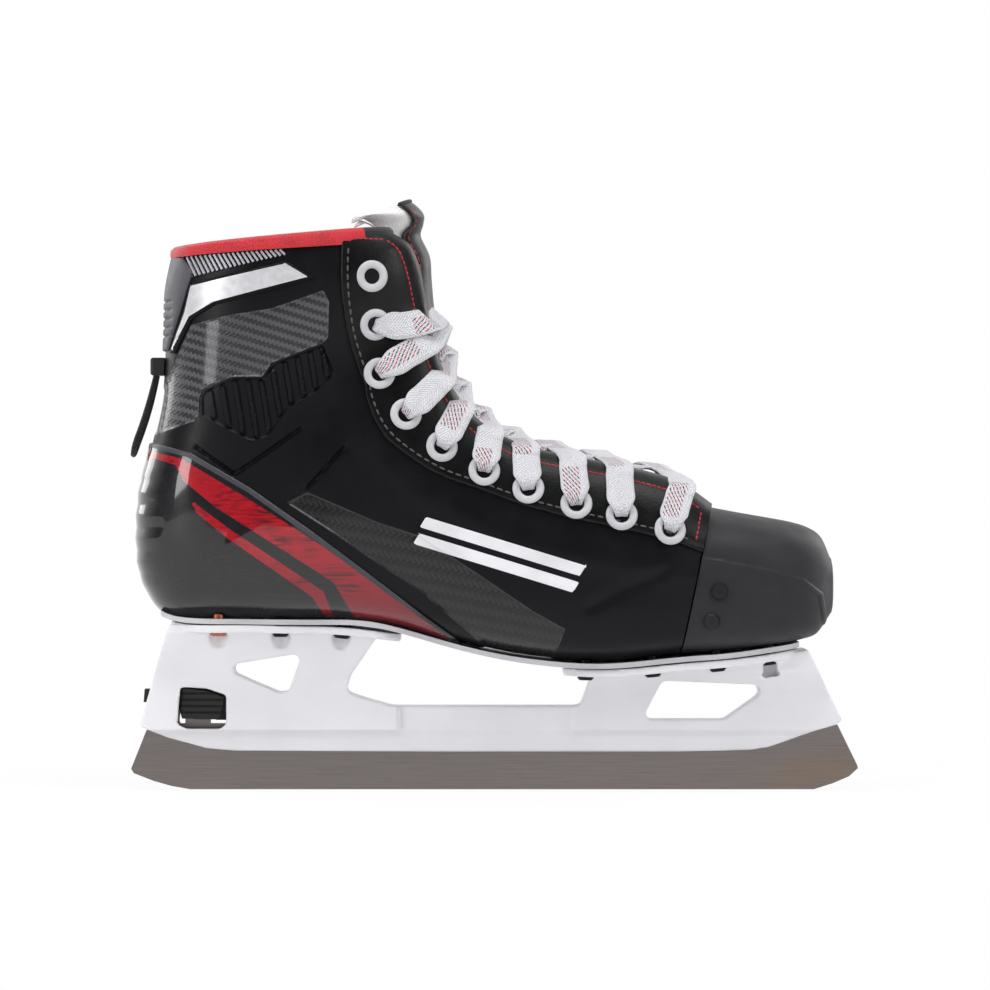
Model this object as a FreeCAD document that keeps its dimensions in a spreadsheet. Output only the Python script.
"""Goalie hockey skate for the right foot: boot, blade holder, quick-release latch and runner.

Millimetres. +X points to the toe, +Z is up, and -Y is the outer (lateral) side. The origin is under the middle
of the runner, on the ice.
"""
import FreeCAD, Part
import math
import os
import re
from collections import namedtuple

import Sketcher

V = FreeCAD.Vector
doc = FreeCAD.newDocument("goalie_skate")
sheet = doc.addObject("Spreadsheet::Sheet", "Sizes")

# Driving sizes, in millimetres and degrees.
SIZES = {
    # Boot outline, and the last that the ribs below are drawn on.
    "boot_length": 272.0,
    "boot_width": 88.0,
    "boot_rise": 149.1,
    "heel_seat": 68.1,
    "last_length": 272.0,
    "last_width": 88.0,
    "last_rise": 149.1,
    "last_seat": 68.1,
    # Walls of the boot, and the glue line between two layers.
    "bond_gap": 0.25,
    "quarter_wall": 3.0,
    "liner_wall": 4.0,
    "overlay_wall": 1.0,
    "toe_cap_wall": 2.5,
    "board_wall": 2.25,
    "footbed_wall": 4.0,
    "outsole_wall": 2.0,
    "binding_tall": 3.0,
    "felt_wall": 4.5,
    "tongue_cover_wall": 1.2,
    "flap_gap": 0.3,
    # Eyelets and lace.
    "eyelet_bore": 6.0,
    "eyelet_barrel": 8.0,
    "eyelet_flange": 12.4,
    "eyelet_flange_tall": 0.9,
    "eyelet_fit": 0.2,
    "lace_wide": 10.5,
    "lace_thick": 1.3,
    # Rivets through the holder, the sole and the board.
    "rivet_shank": 4.8,
    "rivet_head": 6.4,
    "rivet_head_tall": 1.3,
    "rivet_fit": 0.1,
    "toe_rivet_head": 6.6,
    "toe_rivet_shank": 3.2,
    # Blade holder.
    "flange_wall": 3.0,
    "heel_flange_half": 27.0,
    "front_flange_half": 33.0,
    "bar_half": 6.0,
    "tower_half": 20.0,
    "cheek_wall": 3.6,
    "window_round": 2.4,
    "corner_round": 2.0,
    # Runner.
    "runner_thick": 4.0,
    "runner_tall": 26.0,
    "slot_fit": 0.15,
    "slot_roof_gap": 1.3,
    "anchor_pin": 4.4,
    "pin_fit": 0.15,
    # Release trigger.
    "trigger_plate": 3.5,
    "trigger_inset": 0.5,
    "trigger_fit": 0.2,
    "trigger_pad": 2.6,
    "trigger_pin": 3.0,
    "tail_half": 3.0,
    "spring_wire": 0.6,
    # Heel loop.
    "loop_cord": 2.2,
    "keeper_half": 6.5,
}


def fill_sheet():
    """Write every driving size into the spreadsheet with its alias."""
    for row, (alias, value) in enumerate(SIZES.items(), start=1):
        sheet.set(f"A{row}", alias)
        sheet.set(f"B{row}", str(value))
        sheet.setAlias(f"B{row}", alias)
    doc.recompute()


def size(alias):
    """The value of one cell of the sheet."""
    return float(sheet.get(alias))


def bound(text):
    """An expression in aliases, written so that another object can use it."""
    return re.sub(r"[a-z_]+[a-z]", lambda word: "Sizes." + word.group(), text)


def value(expression):
    """The number that an expression on the sheet gives now."""
    if isinstance(expression, str):
        return float(sheet.evalExpression(bound(expression)))
    return float(expression)


fill_sheet()


# ---------------------------------------------------------------- the last: ribs that the boot is drawn on

def last_x(place):
    return place * size("boot_length") / size("last_length")


def last_y(place):
    return place * size("boot_width") / size("last_width")


def last_z(place):
    """Heights above the heel seat follow the boot's rise, the pitch below it stays."""
    above = place - size("last_seat")
    if above > 0:
        above *= size("boot_rise") / size("last_rise")
    return size("heel_seat") + above


def along(place):
    """Expression for a place along the skate that follows the boot's length."""
    return f"({place})*boot_length/last_length"


def below_seat(drop):
    """Expression for a height under the heel seat."""
    return f"heel_seat-({drop})"


Rib = namedtuple("Rib", "top base half throat power split")

# Ribs from the toe seam round the heel to the collar: throat x and z, sole or back x and z, half width,
# half throat, squareness of the base, share of the rib above its widest place, and depth of the eyestay.
LAST_RIBS = (
    (84.0, 111.4, 72.0, 53.5, 41.5, 24.0, 4.5, 0.50, 18.0),
    (70.0, 120.5, 60.0, 52.3, 43.5, 24.5, 4.8, 0.50, 22.0),
    (50.0, 126.0, 45.0, 51.1, 44.0, 25.0, 5.0, 0.50, 23.0),
    (30.0, 129.8, 28.0, 51.4, 42.5, 25.0, 5.0, 0.50, 22.6),
    (12.0, 133.8, 8.0, 53.6, 40.0, 24.5, 4.6, 0.50, 21.6),
    (-2.0, 140.5, -14.0, 58.2, 38.5, 24.0, 4.2, 0.50, 22.7),
    (-12.0, 149.0, -38.0, 65.0, 38.0, 23.5, 4.0, 0.50, 27.0),
    (-19.0, 159.5, -64.0, 68.0, 38.0, 23.0, 4.0, 0.48, 32.0),
    (-23.5, 170.0, -92.0, 68.1, 38.0, 22.5, 3.8, 0.46, 36.0),
    (-26.0, 179.5, -120.0, 68.6, 37.0, 22.0, 3.2, 0.45, 36.0),
    (-27.0, 185.0, -131.0, 71.5, 36.2, 22.0, 2.8, 0.45, 35.0),
    (-27.7, 188.2, -138.0, 83.0, 35.7, 22.0, 2.5, 0.45, 34.6),
    (-28.3, 191.4, -140.0, 97.0, 35.6, 22.0, 2.4, 0.45, 34.2),
    (-28.9, 195.0, -139.3, 115.0, 36.0, 22.2, 2.35, 0.45, 33.8),
    (-29.6, 199.0, -135.5, 134.0, 37.0, 22.5, 2.3, 0.45, 33.0),
    (-30.5, 203.4, -131.0, 155.0, 38.0, 23.0, 2.3, 0.45, 31.5),
    (-32.0, 208.2, -129.6, 178.0, 38.5, 23.5, 2.3, 0.45, 29.0),
    (-34.5, 213.0, -129.0, 196.0, 38.0, 24.0, 2.3, 0.45, 25.6),
    (-41.0, 217.2, -126.0, 211.0, 37.0, 24.5, 2.3, 0.45, 18.5),
)
# Ribs of the toe cap: top x and z, sole x and z, half width.
NOSE_RIBS = (
    (84.3, 111.4, 72.3, 53.5, 41.5),
    (96.0, 109.2, 86.0, 54.5, 41.2),
    (107.0, 107.3, 100.0, 56.0, 39.3),
    (116.0, 105.6, 111.0, 57.5, 35.5),
    (123.0, 103.4, 119.5, 59.1, 29.8),
    (128.2, 99.6, 126.2, 61.6, 22.5),
    (131.7, 92.0, 131.7, 69.0, 13.5),
)
NOSE_SPLIT = 0.45
NOSE_TOP_POWER = 2.7
NOSE_BASE_POWER = 4.5
# Shares of a quarter turn at which a rib's rounded stretches are sampled.
FINE_SHARES = (0.0, 0.03, 0.13, 0.31, 0.5, 0.69, 0.87, 0.97, 1.0)
EVEN_SHARES = (0.0, 0.25, 0.5, 0.75, 1.0)
# How far round the base the liner goes: it leaves the sole open for the board, and closes at the back.
LINER_END = [56.0] * 9 + [58.0, 60.0] + [90.0] * 8
# Shape of the tongue under each rib up to its hinge: how far it stands proud of the throat.
TONGUE_PROUD = (1.2, 1.4, 1.8, 2.0, 2.4, 2.8, 3.3, 3.8, 4.3, 4.8, 5.0, 5.2)
TONGUE_DISH = 0.2
TONGUE_ROOM = 0.7
# The flap's hinge lies this share of the way from one rib to the next.
HINGE_RIB = 11
HINGE_SHARE = 0.35
HINGE_PROUD = 5.2


def make_ribs():
    """The boot's ribs at the size on the sheet."""
    ribs = []
    for top_x, top_z, base_x, base_z, half, throat, power, split, _ in LAST_RIBS:
        top = V(last_x(top_x), 0, last_z(top_z))
        base = V(last_x(base_x), 0, last_z(base_z))
        ribs.append(Rib(top, base, last_y(half), last_y(throat), power, split))
    return ribs


def between(first, second, share):
    """A rib a share of the way from one rib to the next."""
    mixed = [a + (b - a) * share for a, b in zip(first, second)]
    return Rib(*mixed)


def rib_point(rib, depth, side):
    """A point at a depth down the rib from its throat and a distance to its side."""
    down = (rib.base - rib.top).normalize()
    return rib.top + down * depth + V(0, side, 0)


def upper_points(rib, outward, end_depth=None, shares=EVEN_SHARES):
    """The rib's side from the throat edge down to its widest place, or to a depth above it."""
    reach = (rib.base - rib.top).Length * rib.split
    last_angle = 0.0 if end_depth is None else math.asin(1 - end_depth / reach)
    points = []
    for share in shares:
        angle = math.pi / 2 + (last_angle - math.pi / 2) * share
        side = rib.throat + (rib.half - rib.throat) * math.cos(angle) + outward
        points.append(rib_point(rib, reach * (1 - math.sin(angle)), side))
    return points


def lower_points(rib, outward, start=0.0, end=90.0, shares=FINE_SHARES):
    """The rib's side from its widest place round to the sole or the back, moved outward."""
    length = (rib.base - rib.top).Length
    reach = length * rib.split
    fall = length + outward - reach
    points = []
    for share in shares:
        angle = math.radians(start + (end - start) * share)
        side = (rib.half + outward) * max(math.cos(angle), 0.0) ** (2 / rib.power)
        if angle > math.pi / 2 - 1e-9:
            side = 0.0
        points.append(rib_point(rib, reach + fall * math.sin(angle) ** (2 / rib.power), side))
    return points


def base_points(rib, outward, start):
    """The rounded base from a starting angle to the centre line, at even steps across."""
    length = (rib.base - rib.top).Length
    reach = length * rib.split
    fall = length + outward - reach
    widest = math.cos(math.radians(start)) ** (2 / rib.power)
    points = []
    for share in FINE_SHARES[::2]:
        across = widest * (1 - share)
        depth = fall * (1 - across ** rib.power) ** (1 / rib.power)
        points.append(rib_point(rib, reach + depth, (rib.half + outward) * across))
    return points


def mirrored(points):
    return [V(p.x, -p.y, p.z) for p in points]


def spline(points):
    curve = Part.BSplineCurve()
    curve.interpolate(points)
    return curve.toShape()


def band_wire(outer, inner):
    """A closed wire between two rows of points: two splines and the two lines that join their ends."""
    edges = [
        spline(outer),
        Part.makeLine(outer[-1], inner[-1]),
        spline(inner[::-1]),
        Part.makeLine(inner[0], outer[0]),
    ]
    return Part.Wire(edges)


def loft(wires, smooth=True):
    return Part.makeLoft(wires, True, not smooth)


def half_wall(ribs, outward, inward, ends=None):
    """One side's wall over the ribs, from the throat to the centre line, between two offsets."""
    wires = []
    for index, rib in enumerate(ribs):
        end = ends[index] if ends else 90.0
        rows = []
        for offset in (outward, inward):
            rows.append(upper_points(rib, offset) + lower_points(rib, offset, end=end)[1:])
        wires.append(band_wire(*rows))
    return loft(wires)


def full_wall(ribs, outward, inward):
    """The wall from one throat edge under the foot or round the back to the other."""
    wires = []
    for rib in ribs:
        rows = []
        for offset in (outward, inward):
            side = upper_points(rib, offset) + lower_points(rib, offset)[1:]
            rows.append(side + mirrored(side[:-1])[::-1])
        wires.append(band_wire(*rows))
    return loft(wires)


def facing(ribs, depths, outward, inward):
    """A strip along the throat, as deep at each rib as the list says."""
    wires = []
    for rib, depth in zip(ribs, depths):
        rows = [upper_points(rib, offset, end_depth=depth) for offset in (outward, inward)]
        wires.append(band_wire(*rows))
    return loft(wires)


def cup(ribs, outward, inward, start):
    """A dished plate along the sole."""
    wires = []
    for rib in ribs:
        rows = []
        for offset in (outward, inward):
            side = base_points(rib, offset, start)
            rows.append(side + mirrored(side[:-1])[::-1])
        wires.append(band_wire(*rows))
    return loft(wires)


def medial_to_lateral(shape):
    return shape.mirror(V(0, 0, 0), V(0, 1, 0))


def side_prism(points, low, high):
    """The space over a side-view outline, from one y to another."""
    corners = [V(last_x(x), low, last_z(z)) for x, z in points]
    face = Part.Face(Part.makePolygon(corners + corners[:1]))
    return face.extrude(V(0, high - low, 0))


def feature(label, shape):
    """A sub-part whose shape is worked out from the sheet in this file."""
    made = doc.addObject("Part::Feature", label)
    made.Label = label
    made.Shape = shape
    made.Placement = FreeCAD.Placement()
    return made


def nose_ribs():
    ribs = []
    for top_x, top_z, base_x, base_z, half in NOSE_RIBS:
        top = V(last_x(top_x), 0, last_z(top_z))
        base = V(last_x(base_x), 0, last_z(base_z))
        ribs.append(Rib(top, base, last_y(half), 0.0, NOSE_BASE_POWER, NOSE_SPLIT))
    return ribs


def nose_wire(rib, inward):
    """A closed section of the toe cap, moved inward."""
    length = (rib.base - rib.top).Length
    reach = length * rib.split
    upper = []
    for share in FINE_SHARES:
        angle = math.pi / 2 * (1 - share)
        side = (rib.half - inward) * max(math.cos(angle), 0.0) ** (2 / NOSE_TOP_POWER)
        if share == 0.0:
            side = 0.0
        rise = (reach - inward) * math.sin(angle) ** (2 / NOSE_TOP_POWER)
        upper.append(rib_point(rib, reach - rise, side))
    half = upper + lower_points(rib, -inward)[1:]
    return Part.Wire([spline(half), spline(mirrored(half)[::-1])])


# ---------------------------------------------------------------- PartDesign and Part helpers

def new_body(label):
    body = doc.addObject("PartDesign::Body", label)
    body.Label = label
    return body


def base_plane(body, role):
    return next(plane for plane in body.Origin.OriginFeatures if plane.Role == role)


def bind(sketch, kind, index, expression):
    """Hold one coordinate of a line's start at an expression on the sheet."""
    constraint = Sketcher.Constraint(kind, -1, 1, index, 1, value(expression))
    number = sketch.addConstraint(constraint)
    if isinstance(expression, str):
        sketch.setExpression(f"Constraints[{number}]", bound(expression))


def outline(body, role, points, name):
    """A closed sketch of straight lines whose corners are held at expressions on the sheet."""
    sketch = body.newObject("Sketcher::SketchObject", name)
    sketch.AttachmentSupport = [(base_plane(body, role), "")]
    sketch.MapMode = "FlatFace"
    spots = [V(value(a), value(b), 0) for a, b in points]
    for start, end in zip(spots, spots[1:] + spots[:1]):
        sketch.addGeometry(Part.LineSegment(start, end), False)
    for index, (a, b) in enumerate(points):
        before = (index - 1) % len(points)
        sketch.addConstraint(Sketcher.Constraint("Coincident", before, 2, index, 1))
        bind(sketch, "DistanceX", index, a)
        bind(sketch, "DistanceY", index, b)
    doc.recompute()
    return sketch


def pad(body, sketch, length, name):
    """A pad of the sketch, half its length to each side of the sketch's plane."""
    made = body.newObject("PartDesign::Pad", name)
    made.Profile = sketch
    made.SideType = "Symmetric"
    made.setExpression("Length", bound(length))
    doc.recompute()
    return made


def pocket(body, sketch, length, name):
    made = body.newObject("PartDesign::Pocket", name)
    made.Profile = sketch
    made.SideType = "Symmetric"
    made.setExpression("Length", bound(length))
    doc.recompute()
    return made


def spin(label, points):
    """A turned body: the outline gives radius and height, and turns about Z."""
    body = new_body(label)
    sketch = outline(body, "XZ_Plane", points, label + "_profile")
    made = body.newObject("PartDesign::Revolution", label + "_turn")
    made.Profile = sketch
    made.ReferenceAxis = (sketch, ["V_Axis"])
    made.Angle = 360
    doc.recompute()
    return body


def boolean(kind, label, base, tool):
    made = doc.addObject(kind, label)
    made.Label = label
    made.Base = base
    made.Tool = tool
    doc.recompute()
    return made


def copies(shape, placements):
    """The same solid at each placement, as one compound."""
    solids = []
    for placement in placements:
        solid = shape.copy()
        solid.Placement = placement.multiply(solid.Placement)
        solids.append(solid)
    return Part.makeCompound(solids)


# ---------------------------------------------------------------- boot

ribs = make_ribs()
nose = nose_ribs()
GLUE = size("bond_gap")
# Lofts drawn on different points stray from each other by up to this much.
STRAY = 0.1
QUARTER_IN = size("quarter_wall")
LINER_OUT = QUARTER_IN + GLUE + STRAY
LINER_IN = LINER_OUT + size("liner_wall")
OVERLAY_IN = GLUE
OVERLAY_OUT = GLUE + size("overlay_wall")
# The eyestay is drawn on fewer points than the wall, so it stands a little further off.
EYESTAY_OUT = OVERLAY_OUT + 4 * STRAY
EYELET_FACE = EYESTAY_OUT + 3 * STRAY
# The plates under the sole are drawn on other stations than the shell, so they too stand further off.
SOLE_GLUE = GLUE + 3 * STRAY

# Places of the ten eyelets of one side, x and z, from the cuff to the toe.
EYELETS = (
    (-48.0, 201.1), (-46.8, 182.5), (-44.8, 163.1), (-34.6, 147.3), (-20.7, 134.7),
    (-4.1, 125.2), (13.2, 118.1), (31.8, 112.2), (49.2, 107.8), (67.7, 102.3),
)
# Side-view outlines of the overlays.
HEEL_COUNTER = (
    (-150.0, 136.0), (-133.0, 136.5), (-118.0, 132.5), (-95.0, 119.0), (-70.0, 101.5), (-46.0, 83.5),
    (-26.0, 68.5), (-29.0, 66.5), (-53.0, 70.6), (-72.0, 71.6), (-127.0, 71.8), (-150.0, 72.0),
)
TENDON_GUARD = (
    (-145.0, 209.0), (-126.0, 209.5), (-121.4, 208.8), (-117.5, 203.0), (-122.6, 187.0), (-127.5, 172.8),
    (-145.0, 172.5),
)
CUFF_TRIM = (
    (-118.6, 198.5), (-80.8, 207.0), (-69.7, 200.3), (-108.5, 190.2), (-117.5, 185.0), (-124.6, 171.5),
    (-127.0, 172.0), (-121.2, 187.5),
)
# Places of the plugs beside the toe seam, x and z.
TOE_PLUGS = ((87.2, 78.6), (84.2, 67.0))


def side_seat(shape, x, z):
    """Where a line across the boot leaves its medial side, and the surface's normal there."""
    line = Part.makeLine(V(x, 1.0, z), V(x, 120.0, z))
    hit = max((vertex.Point for vertex in shape.common(line).Vertexes), key=lambda point: point.y)
    _, _, info = shape.distToShape(Part.Vertex(hit))
    normal = V(0, 1, 0)
    for kind, number, where in (entry[:3] for entry in info):
        if kind == "Face":
            normal = shape.Faces[number].normalAt(*where)
    if normal.y < 0:
        normal = normal * -1
    return hit, normal.normalize()


def seat_placement(point, normal):
    """Puts a turned solid's Z axis on a surface's normal."""
    return FreeCAD.Placement(point, FreeCAD.Rotation(V(0, 0, 1), normal))


def mirror_placement(placement):
    base = placement.Base
    normal = placement.Rotation.multVec(V(0, 0, 1))
    return seat_placement(V(base.x, -base.y, base.z), V(normal.x, -normal.y, normal.z))


def drill(shape, placements, radius, low=-20.0, high=12.0):
    """Round holes along the Z axis of each placement."""
    tools = []
    for placement in placements:
        tool = Part.makeCylinder(radius, high - low, V(0, 0, low))
        tool.Placement = placement
        tools.append(tool)
    return shape.cut(tools)


def base_point(share_x):
    """Height of the sole at a place along the skate, and its slope, from the ribs' ends."""
    line = [rib.base for rib in ribs[:11][::-1] + nose[1:6]]
    for start, end in zip(line, line[1:]):
        if start.x <= share_x <= end.x:
            slope = (end.z - start.z) / (end.x - start.x)
            return start.z + slope * (share_x - start.x), slope
    raise ValueError("the place is off the sole")


# Rivets: place along the skate and distance to the side. The rearmost on the lateral side is copper.
HEEL_RIVETS = (-108.0, -83.7, -59.1)
FRONT_RIVETS = (35.7, 61.3, 86.6, 106.8)
HEEL_RIVET_SIDE = 19.0
FRONT_RIVET_SIDE = (24.0, 24.0, 23.0, 17.0)
FLANGE_TOP = size("outsole_wall") + 2 * SOLE_GLUE
FLANGE_FOOT = FLANGE_TOP + size("flange_wall")
# Height of the board's top over the flange's foot, where a rivet is clinched, and the room over it.
CLINCH = FLANGE_FOOT + LINER_OUT + size("board_wall")
CLINCH_TALL = 0.8
CLINCH_ROOM = 3.0
RIVET_HOLE = size("rivet_shank") / 2 + size("rivet_fit")


def rivet_placements():
    """Medial placements of the rivets: origin on the flange's foot, Z up through the sole."""
    spots = [(place, HEEL_RIVET_SIDE) for place in HEEL_RIVETS]
    spots += list(zip(FRONT_RIVETS, FRONT_RIVET_SIDE))
    placements = []
    for place, side in spots:
        height, slope = base_point(last_x(place))
        up = V(-slope, 0, 1).normalize()
        foot = V(last_x(place), last_y(side), height) - up * FLANGE_FOOT
        placements.append(seat_placement(foot, up))
    return placements


medial_rivets = rivet_placements()
lateral_rivets = [mirror_placement(placement) for placement in medial_rivets]


def rivet_holes(shape, placements):
    """Holes for the rivets' shanks, and room for their clinched ends."""
    top = CLINCH + CLINCH_ROOM
    holed = drill(shape, placements, RIVET_HOLE, high=top)
    return drill(holed, placements, size("rivet_head") / 2 + 2 * STRAY, low=CLINCH, high=top)


wall = half_wall(ribs, 0.0, -QUARTER_IN)
medial_seats = [seat_placement(*side_seat(wall, last_x(x), last_z(z))) for x, z in EYELETS]
lateral_seats = [mirror_placement(placement) for placement in medial_seats]


def make_quarters():
    """The two halves of the shell, drilled for eyelets and rivets."""
    bore = size("eyelet_barrel") / 2 + size("eyelet_fit")
    medial = rivet_holes(drill(wall, medial_seats, bore), medial_rivets)
    feature("quarter_medial", medial)
    feature("quarter_lateral", medial_to_lateral(medial))


def make_liners():
    """Foam inside the shell, open under the foot, with room for the eyelets' clinched ends."""
    foam = half_wall(ribs, -LINER_OUT, -LINER_IN, LINER_END)
    foam = foam.common(Part.makeBox(600, 100, 400, V(-300, 0.0, 0.0)))
    foam = drill(foam, medial_seats, size("eyelet_flange") / 2 - 0.4)
    feature("liner_medial", foam)
    feature("liner_lateral", medial_to_lateral(foam))


def make_eyestays():
    depths = [rib[8] for rib in LAST_RIBS]
    strip = facing(ribs, depths, EYESTAY_OUT, EYESTAY_OUT - size("overlay_wall"))
    strip = drill(strip, medial_seats, size("eyelet_barrel") / 2 + size("eyelet_fit"))
    strip = drill(strip, medial_seats, size("eyelet_flange") / 2 + size("eyelet_fit"), low=EYELET_FACE - STRAY)
    feature("eyestay_medial", strip)
    feature("eyestay_lateral", medial_to_lateral(strip))


def make_overlays():
    """Heel counter, tendon guard and the badges of the cuff, cut from one layer over the shell."""
    layer = full_wall(ribs, OVERLAY_OUT, OVERLAY_IN)
    reach = size("boot_width")
    feature("heel_counter", layer.common(side_prism(HEEL_COUNTER, -reach, reach)))
    feature("tendon_guard", layer.common(side_prism(TENDON_GUARD, -reach, reach)))
    badge = layer.common(side_prism(CUFF_TRIM, 0.0, reach))
    feature("cuff_trim_medial", badge)
    feature("cuff_trim_lateral", medial_to_lateral(badge))


def make_binding():
    """The padded rim that caps shell and liner along the collar."""
    rim = ribs[-1]
    rise = V(rim.base.z - rim.top.z, 0, rim.top.x - rim.base.x).normalize()
    wires = []
    for height in (GLUE, GLUE + size("binding_tall")):
        lifted = rim._replace(top=rim.top + rise * height, base=rim.base + rise * height)
        rows = []
        for offset in (OVERLAY_OUT, -LINER_IN - 0.5):
            side = upper_points(lifted, offset) + lower_points(lifted, offset)[1:]
            rows.append(side + mirrored(side[:-1])[::-1])
        wires.append(band_wire(*rows))
    feature("collar_binding", loft(wires, smooth=False))


def make_toe_cap():
    """The moulded cap, hollow and open to the quarter, with its four plugs."""
    outside = loft([nose_wire(rib, 0.0) for rib in nose])
    inward = size("toe_cap_wall")
    behind = between(nose[0], nose[1], -0.3)
    core = loft([nose_wire(rib, inward) for rib in [behind] + nose[:-1]])
    shell = outside.cut(core)
    shell.translate(V(GLUE + STRAY, 0, 0))
    medial = [seat_placement(*side_seat(shell, last_x(x), last_z(z))) for x, z in TOE_PLUGS]
    plugs = medial + [mirror_placement(placement) for placement in medial]
    shell = drill(shell, plugs, size("toe_rivet_shank") / 2 + size("rivet_fit"))
    feature("toe_cap", rivet_holes(shell, medial_rivets[-2:] + lateral_rivets[-2:]))
    plug = spin("toe_plug", [
        (0, "-toe_cap_wall-bond_gap"), ("toe_rivet_shank/2", "-toe_cap_wall-bond_gap"),
        ("toe_rivet_shank/2", "bond_gap"), ("toe_rivet_head/2", "bond_gap"),
        ("toe_rivet_head/2-0.5", "bond_gap+0.8"), (0, "bond_gap+0.9"),
    ])
    feature("toe_cap_rivets", copies(plug.Shape, plugs))


def make_insoles():
    """The board that the rivets clinch on, and the footbed over it."""
    sole = ribs[:11][::-1] + nose[1:5]
    board = cup(sole, -LINER_OUT, -LINER_OUT - size("board_wall"), 63.0)
    feature("insole_board", rivet_holes(board, medial_rivets + lateral_rivets))
    rest = LINER_IN + GLUE
    feature("footbed", cup(sole, -rest, -rest - size("footbed_wall"), 50.0))


def plate(places, halves, high, low):
    """A plate under the sole: flat across, following the sole's line."""
    wires = []
    for x, half in zip(places, halves):
        height, _ = base_point(x)
        corners = [
            V(x, -half, height - high), V(x, half, height - high),
            V(x, half, height - low), V(x, -half, height - low),
        ]
        wires.append(Part.makePolygon(corners + corners[:1]))
    return loft(wires)


# Half widths of the outsole from the heel to the toe.
SOLE_HALF = (14.0, 22.0, 27.0, 27.5, 26.5, 26.0, 29.0, 33.0, 35.0, 34.5, 33.0, 31.5, 28.0, 23.0, 15.0)


def make_outsole():
    places = [rib.base.x for rib in ribs[:11][::-1] + nose[1:5]]
    halves = [last_y(half) for half in SOLE_HALF]
    slab = plate(places, halves, SOLE_GLUE, SOLE_GLUE + size("outsole_wall"))
    feature("outsole", rivet_holes(slab, medial_rivets + lateral_rivets))


def make_rivets():
    """Holder rivets: head under the flange, shank up through the sole, clinched on the board."""
    foot = CLINCH + STRAY / 2
    rivet = spin("rivet", [
        (0, "-rivet_head_tall-0.1"), ("rivet_head/2-0.7", "-rivet_head_tall-0.1"), ("rivet_head/2", "-0.6"),
        ("rivet_head/2", "-0.1"), ("rivet_shank/2", "-0.1"), ("rivet_shank/2", foot), ("rivet_head/2", foot),
        ("rivet_head/2-0.6", foot + CLINCH_TALL), (0, foot + CLINCH_TALL),
    ])
    feature("holder_rivets_steel", copies(rivet.Shape, medial_rivets + lateral_rivets[1:]))
    feature("holder_rivet_copper", copies(rivet.Shape, lateral_rivets[:1]))


def make_eyelets():
    """Pressed eyelets: a domed flange outside, a barrel, and an end rolled behind the shell."""
    rolled = f"-quarter_wall-{GLUE}"
    face = EYELET_FACE
    eyelet = spin("eyelet", [
        ("eyelet_bore/2", f"{rolled}-0.8"), ("eyelet_flange/2-1.0", f"{rolled}-0.8"),
        ("eyelet_flange/2-1.0", rolled), ("eyelet_barrel/2", rolled), ("eyelet_barrel/2", face),
        ("eyelet_flange/2", face), ("eyelet_flange/2", f"{face}+0.3"),
        ("eyelet_flange/2-0.9", f"{face}+eyelet_flange_tall"),
        ("eyelet_bore/2+0.8", f"{face}+eyelet_flange_tall"), ("eyelet_bore/2", f"{face}+0.2"),
    ])
    feature("eyelets_medial", copies(eyelet.Shape, medial_seats))
    feature("eyelets_lateral", copies(eyelet.Shape, lateral_seats))


# ---------------------------------------------------------------- tongue

def tongue_wire(rib, half, proud, deep, outer, inner):
    """A dished section across the throat: an arc proud of it in the middle, with edges a depth below it."""
    rise = proud + deep
    radius = (half ** 2 + rise ** 2) / (2 * rise)
    turn = math.asin(min(half / radius, 1.0)) if radius > rise else math.pi - math.asin(half / radius)
    rows = []
    for inset in (outer, inner):
        row = []
        for share in (-1.0, -0.5, 0.0, 0.5, 1.0):
            angle = turn * share
            reach = radius - inset
            row.append(rib_point(rib, radius - proud - reach * math.cos(angle), reach * math.sin(angle)))
        rows.append(row)
    return band_wire(*rows)


def lower_tongue_half(rib):
    """Half width of the tongue between the liners."""
    return rib.throat - LINER_IN - TONGUE_ROOM


hinge_below = between(ribs[HINGE_RIB], ribs[HINGE_RIB + 1], HINGE_SHARE)
hinge_above = hinge_below._replace(
    top=hinge_below.top + V(0, 0, size("flap_gap") + 0.05),
    base=hinge_below.base + V(0, 0, size("flap_gap") + 0.05),
)


def flap_stations():
    """Sections of the flap from its hinge to its top: rib, half width, proud, depth of its wings."""
    collar = ribs[-1]
    lean = V(collar.base.x - collar.top.x, 0, collar.base.z - collar.top.z)

    def raised(forward, up, slope):
        top = collar.top + V(forward, 0, up)
        return collar._replace(top=top, base=top + slope)

    return [
        (hinge_above, lower_tongue_half(hinge_above), HINGE_PROUD, TONGUE_DISH),
        (ribs[14], 14.9, 5.6, 2.0),
        (ribs[16], 15.6, 6.8, 4.0),
        (collar, 16.2, 12.0, 6.0),
        (raised(0.5, 5.0, lean), 16.6, 12.5, 7.0),
        (raised(0.5, 9.0, lean), 20.5, 12.5, 14.0),
        (raised(-1.5, 11.0, V(-92.0, 0, -39.0)), 21.0, 10.0, 15.0),
    ]


def make_tongue():
    """Felt and its cover, in a lower part under the lace and a flap above it that swings at the hinge."""
    cover_in = size("tongue_cover_wall")
    felt_out = cover_in + GLUE
    layers = (
        ("tongue_cover", 0.0, cover_in),
        ("tongue_felt", felt_out, felt_out + size("felt_wall")),
    )
    lower = list(zip(ribs[:12] + [hinge_below], TONGUE_PROUD + (HINGE_PROUD,)))
    for label, outer, inner in layers:
        wires = [tongue_wire(rib, lower_tongue_half(rib), proud, TONGUE_DISH, outer, inner)
                 for rib, proud in lower]
        feature(label + "_lower", loft(wires))
        wires = [tongue_wire(rib, half, proud, deep, outer, inner)
                 for rib, half, proud, deep in flap_stations()]
        feature(label + "_flap", loft(wires))


# ---------------------------------------------------------------- lace

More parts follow.
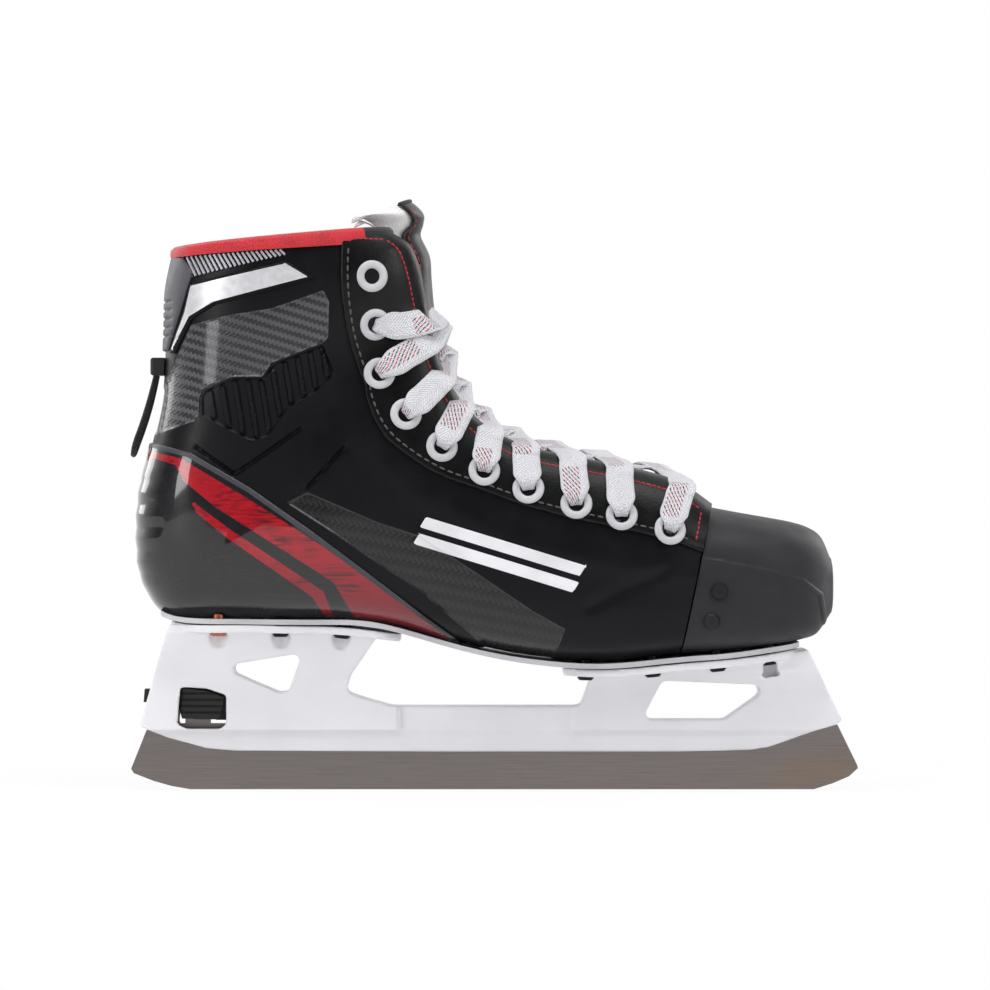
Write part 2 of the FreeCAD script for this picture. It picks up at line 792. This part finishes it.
def ribbon(spots, wide, thick):
    """A flat band through spots, each a place, a direction across the band and a normal."""
    rings = []
    for place, across, normal in spots:
        side = across * (wide / 2)
        lift = normal * (thick / 2)
        rings.append([place - side - lift, place + side - lift, place + side + lift, place - side + lift])
    faces = [Part.Face(Part.makePolygon([a, b, c, a])) for ring in (rings[0], rings[-1])
             for a, b, c in ((ring[0], ring[1], ring[2]), (ring[0], ring[2], ring[3]))]
    for ring, after in zip(rings, rings[1:]):
        for index in range(4):
            following = (index + 1) % 4
            a, b, c, d = ring[index], ring[following], after[following], after[index]
            faces.append(Part.Face(Part.makePolygon([a, b, c, a])))
            faces.append(Part.Face(Part.makePolygon([a, c, d, a])))
    return Part.Solid(Part.Shell(faces))


def rib_at(place):
    """The rib at a fractional place in the row of ribs."""
    index = min(int(place), len(ribs) - 2)
    return between(ribs[index], ribs[index + 1], place - index)


def throat_place(x, z, shift):
    """The place in the row of ribs whose throat is nearest a spot, moved some way up the throat."""
    places = [step * 0.02 for step in range(50 * (len(ribs) - 1))]
    spot = V(x, 0, z)
    nearest = min(places, key=lambda place: (rib_at(place).top - spot).Length)
    goal = nearest
    walked = 0.0
    step = 0.02 if shift > 0 else -0.02
    while walked < abs(shift) and 0.0 < goal + step < len(ribs) - 1:
        walked += (rib_at(goal + step).top - rib_at(goal).top).Length
        goal += step
    return goal


def rib_place(x, z):
    """The place in the row of ribs, and the depth down it, of a spot in the side view."""
    best = None
    for step in range(50 * (len(ribs) - 1)):
        rib = rib_at(step * 0.02)
        down = (rib.base - rib.top).normalize()
        offset = V(x, 0, z) - rib.top
        depth = offset.dot(down)
        miss = (offset - down * depth).Length
        if best is None or miss < best[0]:
            best = (miss, step * 0.02, depth)
    return best[1], best[2]


def on_skin(place, depth, lift, hand):
    """A point over the shell beside the throat, and the surface's normal there."""
    rib = rib_at(place)
    reach = (rib.base - rib.top).Length * rib.split
    angle = math.asin(1 - depth / reach)
    rise = (rib.half - rib.throat) * math.sin(angle)
    run = reach * math.cos(angle)
    down = (rib.base - rib.top).normalize()
    normal = (down * -rise + V(0, run, 0)).normalize()
    side = rib.throat + (rib.half - rib.throat) * math.cos(angle)
    point = rib_point(rib, depth, side) + normal * lift
    return V(point.x, point.y * hand, point.z), V(normal.x, normal.y * hand, normal.z)


# A run leaves the throat's edge this far along from its eyelet. The row above the first laced one is empty.
LACE_SHIFT = 5.0
FIRST_LACED = 1


def over_tongue(place, side, lift):
    """A point over the tongue and the direction out of the boot there."""
    rib = rib_at(place)
    half = lower_tongue_half(rib)
    index = min(int(place), len(TONGUE_PROUD) - 2)
    proud = TONGUE_PROUD[index] + (TONGUE_PROUD[index + 1] - TONGUE_PROUD[index]) * min(place - index, 1.0)
    fall = (proud + TONGUE_DISH) * (side / half) ** 2
    up = (rib.base - rib.top).normalize() * -1
    return rib.top + up * (proud - fall + lift) + V(0, side, 0), up


def strand(row, hand, layer):
    """One visible run of the lace, from its eyelet over the throat to the far side of the row above."""
    x, z = EYELETS[row]
    place, depth = rib_place(last_x(x), last_z(z))
    shift = LACE_SHIFT if row > FIRST_LACED else -LACE_SHIFT
    edge = throat_place(last_x(x), last_z(z), shift)
    thick = size("lace_thick")
    face = EYESTAY_OUT + thick / 2
    stops = []
    for share, lift in ((1.0, 2.3), (0.8, 2.0), (0.6, 1.6), (0.4, 1.6), (0.2, 1.9), (0.05, 2.6)):
        stops.append(on_skin(edge + (place - edge) * share, depth * share, face + lift, hand))
    if row > FIRST_LACED:
        up_x, up_z = EYELETS[row - 1]
        far_shift = LACE_SHIFT if row - 1 > FIRST_LACED else -LACE_SHIFT
        far = throat_place(last_x(up_x), last_z(up_z), far_shift)
    else:
        far = edge
    for share, over in ((0.2, 4.4), (0.35, 4.0), (0.5, 3.1 + layer * (thick + 0.5)), (0.65, 3.0), (0.8, 2.6)):
        lift = thick / 2 + over
        spot = edge + (far - edge) * share
        throat = rib_at(spot).throat
        side = throat * (1 - 2 * share) * hand
        half = lower_tongue_half(rib_at(spot))
        side = max(-half + 1.0, min(half - 1.0, side))
        if row == FIRST_LACED and share > 0.5:
            break
        stops.append(over_tongue(spot, side, lift))
    return stops


def banded(stops, wide, thick):
    """Turns points and normals into ribbon spots whose width lies square to the run."""
    spots = []
    for index, (point, normal) in enumerate(stops):
        ahead = stops[min(index + 1, len(stops) - 1)][0]
        behind = stops[max(index - 1, 0)][0]
        across = (ahead - behind).cross(normal).normalize()
        level = across.cross(ahead - behind).normalize()
        spots.append((point, across, level))
    return ribbon(spots, wide, thick)


def make_lace():
    """The lace's outside runs: a bar across the top laced row and crossed runs below it."""
    wide, thick = size("lace_wide"), size("lace_thick")
    runs = []
    top = strand(FIRST_LACED, 1, 0.0)
    bar = top + [(V(p.x, -p.y, p.z), V(n.x, -n.y, n.z)) for p, n in top[:-1][::-1]]
    runs.append(banded(bar, wide, thick))
    for row in range(FIRST_LACED + 1, len(EYELETS)):
        for hand, layer in ((-1, 1.0), (1, 0.0)):
            runs.append(banded(strand(row, hand, layer), wide, thick))
    feature("lace", runs[0].multiFuse(runs[1:]))


# ---------------------------------------------------------------- blade holder

SLOT_HALF = "runner_thick/2+slot_fit"
SLOT_ROOF = "runner_tall+slot_roof_gap"
TRIGGER_INNER = "runner_thick/2+trigger_inset"
TRIGGER_OUTER = f"{TRIGGER_INNER}+trigger_plate"
CAVITY_HALF = f"{TRIGGER_OUTER}+trigger_fit"
WAIST_HALF = f"{CAVITY_HALF}+cheek_wall"
# The latch sits at a fixed set of distances round the trigger's pin.
LATCH_X = along(-104.0)
LATCH_Z = "runner_tall+11"
ANCHOR_X = along(116.0)
ANCHOR_Z = "runner_tall+4"


def at_latch(points):
    """Places given from the trigger's pin."""
    return [(f"{LATCH_X}+({x})", f"{LATCH_Z}+({z})") for x, z in points]


def at_anchor(points):
    """Places given from the anchor pin."""
    return [(f"{ANCHOR_X}+({x})", f"{ANCHOR_Z}+({z})") for x, z in points]


HOLDER_OUTLINE = [
    (along(-127.5), below_seat(3.0)), (along(-132.5), "heel_seat-18"), (along(-138.8), 28.4),
    (along(-139.4), 25.0), (along(-129.0), 20.6), (along(-113.2), 16.3), (along(-102.5), 15.4),
    (along(-29.4), 15.0), (along(72.9), 15.0), (along(100.1), 15.6), (along(108.0), 16.8),
    (along(115.5), 19.4), (along(125.8), 23.2), (along(134.6), 25.7), (along(136.9), 27.5),
    (along(122.9), below_seat(12.5)), (along(104.1), below_seat(15.5)), (along(80.4), below_seat(18.6)),
    (along(57.1), below_seat(20.3)), (along(41.0), below_seat(20.7)),
    (along(37.7), 43.4), (along(33.6), 33.1), (along(-40.5), 33.1), (along(-50.0), 35.8),
    (along(-58.6), 38.6), (along(-56.6), 45.2), (along(-45.0), below_seat(6.0)),
    (along(-54.0), below_seat(4.4)), (along(-72.5), below_seat(3.0)),
]
REAR_WINDOW = [
    (along(-108.8), 48.6), (along(-75.2), 54.2), (along(-81.2), 38.6), (along(-85.0), 38.4),
]
FRONT_WINDOW = [
    (along(66.0), 43.2), (along(103.6), 41.6), (along(104.4), 37.6), (along(90.4), 27.7), (along(58.0), 27.7),
]
TRIGGER_WINDOW = at_latch((
    (-20.8, -11.1), (-19.6, 3.6), (-9.0, 2.9), (-1.6, 0.4), (-1.6, -11.2), (-4.0, -12.9), (-17.0, -12.9),
))


def holder_profile(label, start, end, foot_half, waist_half, waist_low, waist_high, top_half, top_low):
    """One stretch of the holder seen from the front, padded along the skate from start to end."""
    body = new_body(label)
    right = [
        ("bar_half", 10), ("bar_half", 21), (waist_half, waist_low), (waist_half, waist_high),
        (top_half, top_low), (top_half, "heel_seat+5"),
    ]
    points = right + [(f"-({a})", b) for a, b in right[::-1]]
    sketch = outline(body, "YZ_Plane", points, label + "_profile")
    middle = f"({start}+{end})/2"
    sketch.setExpression("AttachmentOffset.Base.z", bound(middle))
    pad(body, sketch, f"{end}-({start})", label + "_pad")
    return body


def y_edges(shape, places, reach=2.5):
    """Names of the edges that run across the skate at the given side-view places."""
    names = []
    for number, edge in enumerate(shape.Edges, start=1):
        ends = [vertex.Point for vertex in edge.Vertexes]
        if len(ends) < 2 or abs(ends[0].x - ends[1].x) > 0.01 or abs(ends[0].z - ends[1].z) > 0.01:
            continue
        if any(math.hypot(ends[0].x - x, ends[0].z - z) < reach for x, z in places):
            names.append(f"Edge{number}")
    return names


def round_corners(body, base, corners, radius, name):
    """Fillets on the edges that run across the skate at some corners of an outline."""
    places = [(value(x), value(z)) for x, z in corners]
    made = body.newObject("PartDesign::Fillet", name)
    made.Base = (base, y_edges(base.Shape, places, 0.2))
    made.setExpression("Radius", bound(radius))
    doc.recompute()
    return made


def make_holder():
    side = new_body("holder_side")
    slab = pad(side, outline(side, "XZ_Plane", HOLDER_OUTLINE, "holder_outline"), "4*tower_half", "holder_slab")
    rear = pocket(side, outline(side, "XZ_Plane", REAR_WINDOW, "rear_window"), "5*tower_half", "rear_opening")
    front = pocket(side, outline(side, "XZ_Plane", FRONT_WINDOW, "front_window"), "5*tower_half",
                   "front_opening")
    rounded = round_corners(side, front, REAR_WINDOW[:2] + FRONT_WINDOW, "window_round", "window_rounding")
    rounded = round_corners(side, rounded, HOLDER_OUTLINE[20:22] + HOLDER_OUTLINE[24:26], "window_round",
                            "gap_rounding")
    round_corners(side, rounded, HOLDER_OUTLINE[2:4] + HOLDER_OUTLINE[13:15], "corner_round/2",
                  "tip_rounding")
    profiles = [
        holder_profile("holder_rear", along(-150.0), along(-38.0), "bar_half", WAIST_HALF, 23.8, 44.0,
                       "tower_half", "heel_seat-6"),
        holder_profile("holder_middle", along(-64.0), along(45.0), "bar_half", "bar_half+1.5", 23.8, 40.0,
                       "bar_half+1.5", "heel_seat-6"),
        holder_profile("holder_front", along(31.0), along(150.0), "bar_half", "bar_half+2.6", 23.8, 37.0,
                       "tower_half", "heel_seat-21"),
    ]
    section = doc.addObject("Part::MultiFuse", "holder_section")
    section.Shapes = profiles
    doc.recompute()
    towers = boolean("Part::Common", "holder_towers", side, section)
    flanges = doc.addObject("Part::MultiFuse", "holder_shape")
    flanges.Shapes = [towers] + make_flanges()
    doc.recompute()
    cuts = doc.addObject("Part::MultiFuse", "holder_cuts")
    cuts.Shapes = make_holder_cuts()
    doc.recompute()
    boolean("Part::Cut", "blade_holder", flanges, cuts)


# Flanges: places along the skate, and shares of the widest place's half width.
REAR_FLANGE = (
    (-127.0, 0.5), (-120.0, 0.8), (-106.0, 1.0), (-80.0, 1.0), (-60.0, 0.98), (-44.0, 0.9), (-37.0, 0.6),
)
FRONT_FLANGE = (
    (27.0, 0.6), (34.0, 0.88), (50.0, 1.0), (70.0, 1.0), (90.0, 0.95), (107.0, 0.78), (116.0, 0.6), (119.4, 0.4),
)


def make_flanges():
    """The two flanges that the rivets pass through, under the outsole."""
    made = []
    for label, stations, widest in (
        ("rear_flange", REAR_FLANGE, "heel_flange_half"),
        ("front_flange", FRONT_FLANGE, "front_flange_half"),
    ):
        places = [last_x(place) for place, _ in stations]
        halves = [last_y(size(widest) * share) for _, share in stations]
        made.append(feature(label, plate(places, halves, FLANGE_TOP, FLANGE_FOOT)))
    return made


def box_between(label, low, high):
    """A Part::Box from one corner to the other, both bound to the sheet."""
    box = doc.addObject("Part::Box", label)
    for name, axis, a, b in zip(("Length", "Width", "Height"), "xyz", low, high):
        box.setExpression(name, bound(f"({b})-({a})"))
        box.setExpression(f"Placement.Base.{axis}", bound(f"0*bond_gap+({a})"))
    return box


def y_cylinder(label, radius, half, x, z):
    """A Part::Cylinder across the skate."""
    pin = doc.addObject("Part::Cylinder", label)
    pin.Label = label
    pin.setExpression("Radius", bound(radius))
    pin.setExpression("Height", bound(f"2*({half})"))
    pin.Placement = FreeCAD.Placement(V(0, 0, 0), FreeCAD.Rotation(V(1, 0, 0), -90))
    for axis, expression in zip("xyz", (x, f"-({half})", z)):
        pin.setExpression(f"Placement.Base.{axis}", bound(expression))
    doc.recompute()
    return pin


PIN_REACH = f"{CAVITY_HALF}+1.2"
ANCHOR_REACH = "bar_half-0.8"


def make_holder_cuts():
    """Slot for the runner, latch cavity, trigger windows, tail slot, tang pocket and pin bores."""
    window = new_body("trigger_opening")
    pad(window, outline(window, "XZ_Plane", TRIGGER_WINDOW, "trigger_window"), "3*tower_half", "trigger_hole")
    cuts = [
        window,
        box_between("slot", (along(-160.0), f"-({SLOT_HALF})", "0"), (along(160.0), SLOT_HALF, SLOT_ROOF)),
        box_between("latch_cavity", (f"{LATCH_X}-24", f"-({CAVITY_HALF})", f"{LATCH_Z}-12.7"),
                    (f"{LATCH_X}+7", CAVITY_HALF, f"{LATCH_Z}+6")),
        box_between("tail_slot", (along(-160.0), "-(tail_half+0.3)", f"{LATCH_Z}-9"),
                    (f"{LATCH_X}-20", "tail_half+0.3", f"{LATCH_Z}+4")),
        box_between("tang_pocket", (f"{ANCHOR_X}-7.5", f"-({SLOT_HALF})", "20"),
                    (f"{ANCHOR_X}+7.5", SLOT_HALF, f"{ANCHOR_Z}+6.2")),
        y_cylinder("trigger_pin_bore", "trigger_pin/2+pin_fit/3", f"{PIN_REACH}+0.1", LATCH_X, LATCH_Z),
        y_cylinder("anchor_pin_bore", "anchor_pin/2+pin_fit/3", f"{ANCHOR_REACH}+0.1", ANCHOR_X, ANCHOR_Z),
    ]
    holes = []
    for placement in medial_rivets + lateral_rivets:
        tool = Part.makeCylinder(RIVET_HOLE, 12, V(0, 0, -1.0))
        tool.Placement = placement
        holes.append(tool)
    cuts.append(feature("rivet_bores", Part.makeCompound(holes)))
    heads = []
    for placement in medial_rivets + lateral_rivets:
        tool = Part.makeCylinder(size("rivet_head") / 2 + 0.4, 6.0, V(0, 0, -6.0))
        tool.Placement = placement
        heads.append(tool)
    cuts.append(feature("rivet_head_room", Part.makeCompound(heads)))
    return cuts


# ---------------------------------------------------------------- runner and latch

def make_runner():
    """The steel: flat on the ice, rounded at both ends, with a lip for the latch and a hook for the anchor."""
    body = new_body("runner")
    tang_back, tang_front = -18.0, -8.0
    lip_end = -5.1
    wide = "anchor_pin/2+pin_fit"
    narrow = f"0.45*({wide})"
    hook = at_anchor((
        (-6, 4.5), (4.5, 4.5), (4.5, wide), (f"-{narrow}", wide), (f"-({wide})", narrow),
        (f"-({wide})", f"-{narrow}"), (f"-{narrow}", f"-({wide})"), (4.5, f"-({wide})"),
    ))
    points = [
        (along(-120.0), 0), (along(-127.5), 1.3), (along(-134.3), 3.2), (along(-142.3), 6.3),
        (along(-143.4), 8.1), (along(-137.3), 23.4), (along(-133.0), "runner_tall"),
        (f"{LATCH_X}+({tang_back})", "runner_tall"), (f"{LATCH_X}+({tang_back})", f"{LATCH_Z}-4"),
        (f"{LATCH_X}+({lip_end})", f"{LATCH_Z}-4"), (f"{LATCH_X}+({lip_end})", f"{LATCH_Z}-7"),
        (f"{LATCH_X}+({tang_front})", f"{LATCH_Z}-7.4"), (f"{LATCH_X}+({tang_front})", "runner_tall"),
        (f"{ANCHOR_X}-6", "runner_tall"), *hook, (f"{ANCHOR_X}+6", "runner_tall"),
        (along(134.9), "runner_tall"), (along(135.4), 25.4), (along(143.1), 9.6), (along(143.4), 8.3),
        (along(139.9), 5.1), (along(133.6), 2.4), (along(126.0), 0),
    ]
    pad(body, outline(body, "XZ_Plane", points, "runner_outline"), "runner_thick", "runner_plate")


def make_trigger():
    """A fork over the runner's tang: two plates with grip pads, a tail at the back and a nose under the lip."""
    body = new_body("release_trigger")
    plate = at_latch(((-21.0, -2.8), (-19.0, -9.0), (4.5, -9.0), (4.5, 3.0), (-21.0, 3.0)))
    fork = pad(body, outline(body, "XZ_Plane", plate, "fork_outline"), f"2*({TRIGGER_OUTER})", "fork")
    room = at_latch(((-22.0, -12.0), (8.0, -12.0), (8.0, 6.0), (-18.6, 6.0), (-18.6, -3.2), (-22.0, -3.2)))
    pocket(body, outline(body, "XZ_Plane", room, "fork_room"), f"2*({TRIGGER_INNER})", "fork_gap")
    nose = at_latch(((-6.0, -9.6), (0.0, -9.6), (0.0, -7.4), (-4.2, -7.4)))
    pad(body, outline(body, "XZ_Plane", nose, "nose_outline"), f"2*({TRIGGER_INNER}+0.5)", "nose")
    tail = at_latch(((-34.4, -2.6), (-34.0, 2.6), (-19.0, 3.0), (-19.0, -3.0)))
    pad(body, outline(body, "XZ_Plane", tail, "tail_outline"), "2*tail_half", "tail")
    grip = at_latch(((-19.2, -8.4), (-18.5, 3.0), (-9.5, 2.0), (-2.5, -0.5), (-3.6, -7.5), (-5.0, -9.2),
                     (-13.0, -9.2)))
    pads = new_body("grip_pads")
    pad(pads, outline(pads, "XZ_Plane", grip, "grip_outline"), f"2*({TRIGGER_OUTER}+trigger_pad)", "grips")
    pocket(pads, outline(pads, "XZ_Plane", at_latch(((-30, -12), (8, -12), (8, 8), (-30, 8))), "grip_room"),
           f"2*({TRIGGER_OUTER}-1.0)", "grip_gap")
    grooves = []
    for number in range(4):
        height = -6.9 + number * 2.5
        grooves += [
            box_between(f"groove_{hand}_{number}",
                        (f"{LATCH_X}-30", low, f"{LATCH_Z}+({height})"),
                        (f"{LATCH_X}+5", high, f"{LATCH_Z}+({height}+0.9)"))
            for hand, low, high in (
                ("medial", f"{TRIGGER_OUTER}+trigger_pad-0.8", f"{TRIGGER_OUTER}+trigger_pad+1"),
                ("lateral", f"-({TRIGGER_OUTER}+trigger_pad+1)", f"-({TRIGGER_OUTER}+trigger_pad-0.8)"),
            )
        ]
    doc.recompute()
    whole = doc.addObject("Part::MultiFuse", "trigger_whole")
    whole.Shapes = [body, pads]
    tools = doc.addObject("Part::MultiFuse", "trigger_cuts")
    tools.Shapes = grooves + [
        y_cylinder("trigger_bore", "trigger_pin/2+pin_fit/3", f"{TRIGGER_OUTER}+2", LATCH_X, LATCH_Z)]
    doc.recompute()
    body.Label = "trigger_fork"
    boolean("Part::Cut", "release_trigger", whole, tools).Label = "release_trigger"


def make_pins():
    y_cylinder("trigger_pin", "trigger_pin/2", PIN_REACH, LATCH_X, LATCH_Z)
    y_cylinder("front_anchor_pin", "anchor_pin/2", ANCHOR_REACH, ANCHOR_X, ANCHOR_Z)


def make_spring():
    """The torsion spring's coil round the trigger's pin, as turns side by side."""
    wire = size("spring_wire") / 2
    radius = size("trigger_pin") / 2 + 0.25 + wire
    half = value(TRIGGER_INNER) - 0.15 - wire
    turns = int(2 * half / (2 * wire + 0.1))
    rings = []
    for turn in range(turns):
        side = -half + 2 * half * turn / (turns - 1)
        rings.append(Part.makeTorus(radius, wire, V(value(LATCH_X), side, value(LATCH_Z)), V(0, 1, 0)))
    feature("trigger_spring", Part.makeCompound(rings))


# ---------------------------------------------------------------- heel loop

# The cord's route behind the boot, from one side of the keeper down and back up to the other.
LOOP_ROUTE = (
    (-133.4, -3.6, 163.2), (-135.4, -4.6, 155.0), (-138.6, -5.0, 144.5), (-141.9, -4.4, 136.0),
    (-142.9, 0.2, 130.6), (-140.9, 4.6, 136.8), (-137.9, 5.0, 145.2), (-135.0, 4.6, 155.4),
    (-133.4, 3.6, 163.2),
)
ARC_SHARE = 0.45
KEEPER_FRONT = -129.9
KEEPER_TALL = 7.0
KEEPER_ROUND = 1.2


def cord_path(route):
    """Straight runs joined by arcs as large as the runs allow. Returns the wire and its radii."""
    edges = []
    radii = []
    start = route[0]
    for before, corner, after in zip(route, route[1:], route[2:]):
        inward = (before - corner).normalize()
        outward = (after - corner).normalize()
        turn = math.pi - inward.getAngle(outward)
        shorter = min((before - corner).Length, (after - corner).Length)
        cut = ARC_SHARE * shorter
        radius = cut / math.tan(turn / 2)
        first, last = corner + inward * cut, corner + outward * cut
        middle = (inward + outward).normalize()
        apex = corner + middle * (math.hypot(radius, cut) - radius)
        edges += [Part.makeLine(start, first), Part.Arc(first, apex, last).toShape()]
        radii.append(radius)
        start = last
    edges.append(Part.makeLine(start, route[-1]))
    return Part.Wire(edges), radii


def make_heel_loop():
    route = [V(last_x(x), y, last_z(z)) for x, y, z in LOOP_ROUTE]
    path, radii = cord_path(route)
    start = route[0]
    ring = Part.Wire(Part.makeCircle(size("loop_cord") / 2, start, route[1] - start))
    cord = path.makePipeShell([ring], True, True)
    wanted = math.pi * (size("loop_cord") / 2) ** 2 * path.Length
    print("heel loop radii", [round(radius, 1) for radius in radii], "length", round(path.Length, 1),
          "volume ratio", round(cord.Volume / wanted, 3))
    feature("heel_loop", cord)
    half = size("keeper_half")
    back = start.x - size("loop_cord")
    front = last_x(KEEPER_FRONT) - GLUE
    block = Part.makeBox(front - back, 2 * half, KEEPER_TALL, V(back, -half, start.z))
    block = block.makeFillet(KEEPER_ROUND, [edge for edge in block.Edges if edge.BoundBox.XMax < front - 1.0])
    shell = wall.fuse(medial_to_lateral(wall))
    feature("loop_keeper", block.cut(shell))


SUB_PARTS = (
    make_quarters, make_liners, make_eyestays, make_overlays, make_binding, make_toe_cap, make_insoles,
    make_outsole, make_rivets, make_eyelets, make_tongue, make_lace, make_holder, make_runner, make_trigger,
    make_pins, make_spring, make_heel_loop,
)
NODES = (
    "quarter_lateral", "quarter_medial", "toe_cap", "toe_cap_rivets", "eyestay_lateral", "eyestay_medial",
    "heel_counter", "tendon_guard", "cuff_trim_lateral", "cuff_trim_medial", "collar_binding",
    "liner_lateral", "liner_medial", "insole_board", "footbed", "outsole", "tongue_cover_lower",
    "tongue_felt_lower", "tongue_cover_flap", "tongue_felt_flap", "eyelets_lateral", "eyelets_medial", "lace",
    "heel_loop", "loop_keeper", "blade_holder", "holder_rivets_steel", "holder_rivet_copper", "runner",
    "release_trigger", "trigger_pin", "trigger_spring", "front_anchor_pin",
)


def export():
    """Check every object, then write each sub-part to its own file."""
    doc.recompute()
    for obj in doc.Objects:
        if {"Invalid", "Error"} & set(obj.State):
            raise RuntimeError(f"{obj.Label} failed: {obj.State}")
    os.makedirs("parts", exist_ok=True)
    found = {}
    for obj in doc.Objects:
        if obj.Label in NODES:
            found[obj.Label] = obj
    for label in NODES:
        shape = found[label].Shape
        if shape.isNull() or not shape.isValid():
            raise RuntimeError(f"{label} has no valid shape")
        shape.exportStep(f"parts/{label}.step")
        print(label, "solids", len(shape.Solids), "volume", round(shape.Volume))


for make in SUB_PARTS:
    make()
export()
